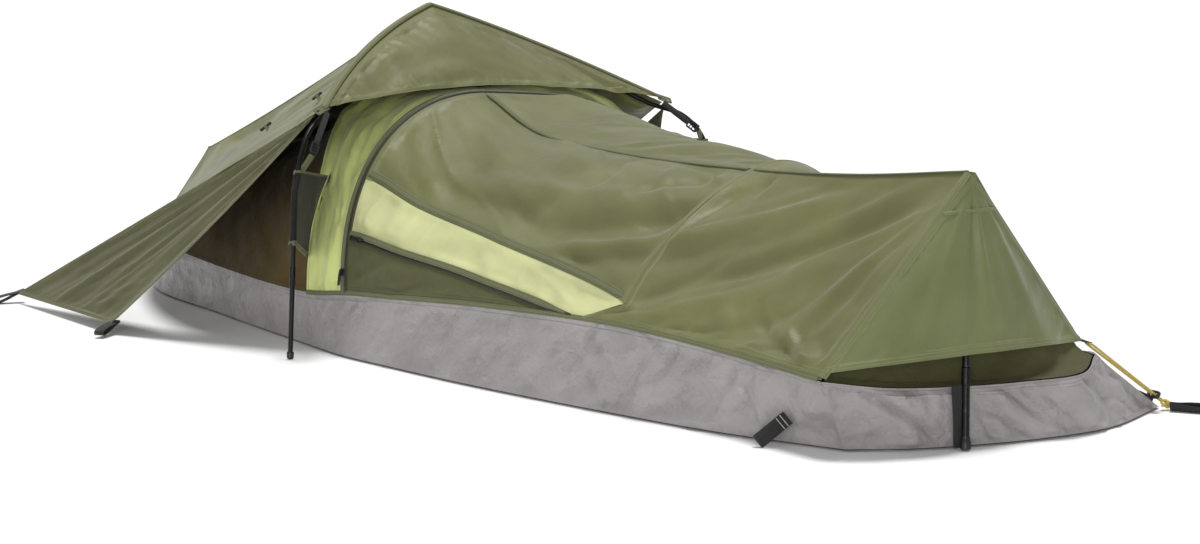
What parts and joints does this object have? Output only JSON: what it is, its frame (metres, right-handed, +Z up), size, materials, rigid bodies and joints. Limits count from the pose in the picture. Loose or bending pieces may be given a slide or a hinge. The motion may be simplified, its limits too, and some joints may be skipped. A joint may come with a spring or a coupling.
{
  "type": "bivy sack",
  "caption": "Low hooped bivy shelter for one sleeper, with a zipped door, head hood and fly, pegged side awnings, waterproof skirt and floor, pole frame and guy line.",
  "frame": {"origin": "on the ground under the middle of the shelter's bounding box", "axes": "+X towards the foot end along the shelter's length, +Y to the far side that the guy line is on, +Z up"},
  "size_m": [2.5143, 1.3172, 0.6014],
  "materials": {
    "olive_cloth": "tightly woven ripstop polyester, slight sheen",
    "dark_cloth": "plain woven polyester lining",
    "lime_cloth": "light coated polyester",
    "grey_cloth": "coated waterproof taffeta, crinkled",
    "mesh": "fine no-see-um mesh",
    "zip_tape": "coil zip on woven tape",
    "webbing": "ribbed nylon webbing",
    "line": "flat braided line",
    "black_plastic": "moulded acetal",
    "pole": "black anodised tube"
  },
  "bodies": {
    "shell": {"floor_sheet": "grey_cloth", "skirt_near": "grey_cloth", "skirt_far": "grey_cloth", "skirt_foot": "grey_cloth", "skirt_head": "grey_cloth", "head_wall_near": "dark_cloth", "head_wall_far": "dark_cloth", "mesh_roof": "mesh", "head_end_wall": "dark_cloth", "foot_inner_wall": "dark_cloth", "arch_band": "lime_cloth", "arch_zip": "zip_tape", "lower_zip_near": "zip_tape", "lower_wall_near": "dark_cloth", "foot_roof_near": "olive_cloth", "lower_zip_far": "zip_tape", "lower_wall_far": "dark_cloth", "foot_roof_far": "olive_cloth", "hood_visor": "olive_cloth", "fly_near": "olive_cloth", "fly_far": "olive_cloth", "fly_head_end": "olive_cloth", "foot_fly": "olive_cloth", "pole_tip_near": "black_plastic", "pole_leg_near": "pole", "pole_arm_near": "pole", "pole_tip_far": "black_plastic", "pole_leg_far": "pole", "pole_arm_far": "pole", "crown_hub": "black_plastic", "foot_pole": "pole", "foot_pole_tip": "black_plastic", "tie_strap_near": "webbing", "mesh_wing_near": "mesh", "tie_strap_far": "webbing", "mesh_wing_far": "mesh", "guy_line": "line", "guy_knot": "line", "ground_loop_far_foot": "webbing", "ground_loop_near_foot": "webbing"},
    "door": {"door_panel": "olive_cloth", "door_wedge_near": "lime_cloth", "door_wedge_far": "lime_cloth"},
    "awning_near": {"awning_near": "olive_cloth", "awning_loop_near_foot": "webbing", "awning_loop_near_head": "webbing"},
    "awning_far": {"awning_far": "olive_cloth", "awning_loop_far_foot": "webbing", "awning_loop_far_head": "webbing"},
    "arch_zip_near_slider": {"arch_zip_near_slider": "black_plastic"},
    "arch_zip_near_pull": {"arch_zip_near_pull": "black_plastic"},
    "lower_zip_near_slider": {"lower_zip_near_slider": "black_plastic"},
    "lower_zip_near_pull": {"lower_zip_near_pull": "black_plastic"},
    "lower_zip_far_slider": {"lower_zip_far_slider": "black_plastic"},
    "lower_zip_far_pull": {"lower_zip_far_pull": "black_plastic"},
    "ladder_lock_near": {"ladder_lock_near": "black_plastic"},
    "ladder_lock_far": {"ladder_lock_far": "black_plastic"},
    "guy_runner": {"guy_runner": "black_plastic"},
    "roll_up_toggle": {"roll_up_toggle": "black_plastic"}
  },
  "joints": [
    {"name": "door_hinge", "type": "hinge", "parent": "shell", "child": "door", "pos_m": [0.6443, 0, 0.397], "axis": [0, 1, 0], "range_deg": [0, 100]},
    {"name": "awning_near_fold", "type": "hinge", "parent": "shell", "child": "awning_near", "pos_m": [-0.1497, -0.386, 0.434], "axis": [-0.8744, -0.2102, -0.4372], "range_deg": [0, 110]},
    {"name": "awning_far_fold", "type": "hinge", "parent": "shell", "child": "awning_far", "pos_m": [-0.1497, 0.386, 0.41], "axis": [0.884, -0.2125, 0.4164], "range_deg": [0, 110]},
    {"name": "arch_zip_near_travel", "type": "slide", "parent": "shell", "child": "arch_zip_near_slider", "axis": [-0.3002, 0.3008, 0.9052], "range_m": [0, 0.1]},
    {"name": "arch_zip_near_pull_lift", "type": "hinge", "parent": "arch_zip_near_slider", "child": "arch_zip_near_pull", "pos_m": [-0.09048, -0.37571, 0.15068], "axis": [-0.9538, -0.0833, -0.2886], "range_deg": [0, 110]},
    {"name": "lower_zip_near_travel", "type": "slide", "parent": "shell", "child": "lower_zip_near_slider", "axis": [0.9936, 0.0574, -0.0968], "range_m": [0, 0.2]},
    {"name": "lower_zip_near_pull_lift", "type": "hinge", "parent": "lower_zip_near_slider", "child": "lower_zip_near_pull", "pos_m": [-0.05954, -0.35454, 0.21113], "axis": [0.066, 0.3995, 0.9144], "range_deg": [0, 110]},
    {"name": "lower_zip_far_travel", "type": "slide", "parent": "shell", "child": "lower_zip_far_slider", "axis": [0.9848, -0.1147, -0.1305], "range_m": [0, 0.2]},
    {"name": "lower_zip_far_pull_lift", "type": "hinge", "parent": "lower_zip_far_slider", "child": "lower_zip_far_pull", "pos_m": [-0.06914, 0.38219, 0.23621], "axis": [-0.1137, 0.1425, -0.9832], "range_deg": [0, 110]},
    {"name": "ladder_lock_near_tilt", "type": "hinge", "parent": "shell", "child": "ladder_lock_near", "pos_m": [-0.10197, -0.41536, 0.38407], "axis": [0.0022, 0.7949, -0.6067], "range_deg": [-35, 35]},
    {"name": "ladder_lock_far_tilt", "type": "hinge", "parent": "shell", "child": "ladder_lock_far", "pos_m": [-0.10177, 0.41566, 0.37247], "axis": [-0.0388, 0.6971, 0.7159], "range_deg": [-35, 35]},
    {"name": "guy_runner_travel", "type": "slide", "parent": "shell", "child": "guy_runner", "axis": [0.0149, -0.832, 0.5546], "range_m": [-0.01, 0.1]},
    {"name": "roll_up_toggle_swing", "type": "hinge", "parent": "shell", "child": "roll_up_toggle", "pos_m": [-0.40321, -0.34637, 0.3853], "axis": [-0.2801, -0.5451, 0.7902], "range_deg": [-90, 90]}
  ]
}
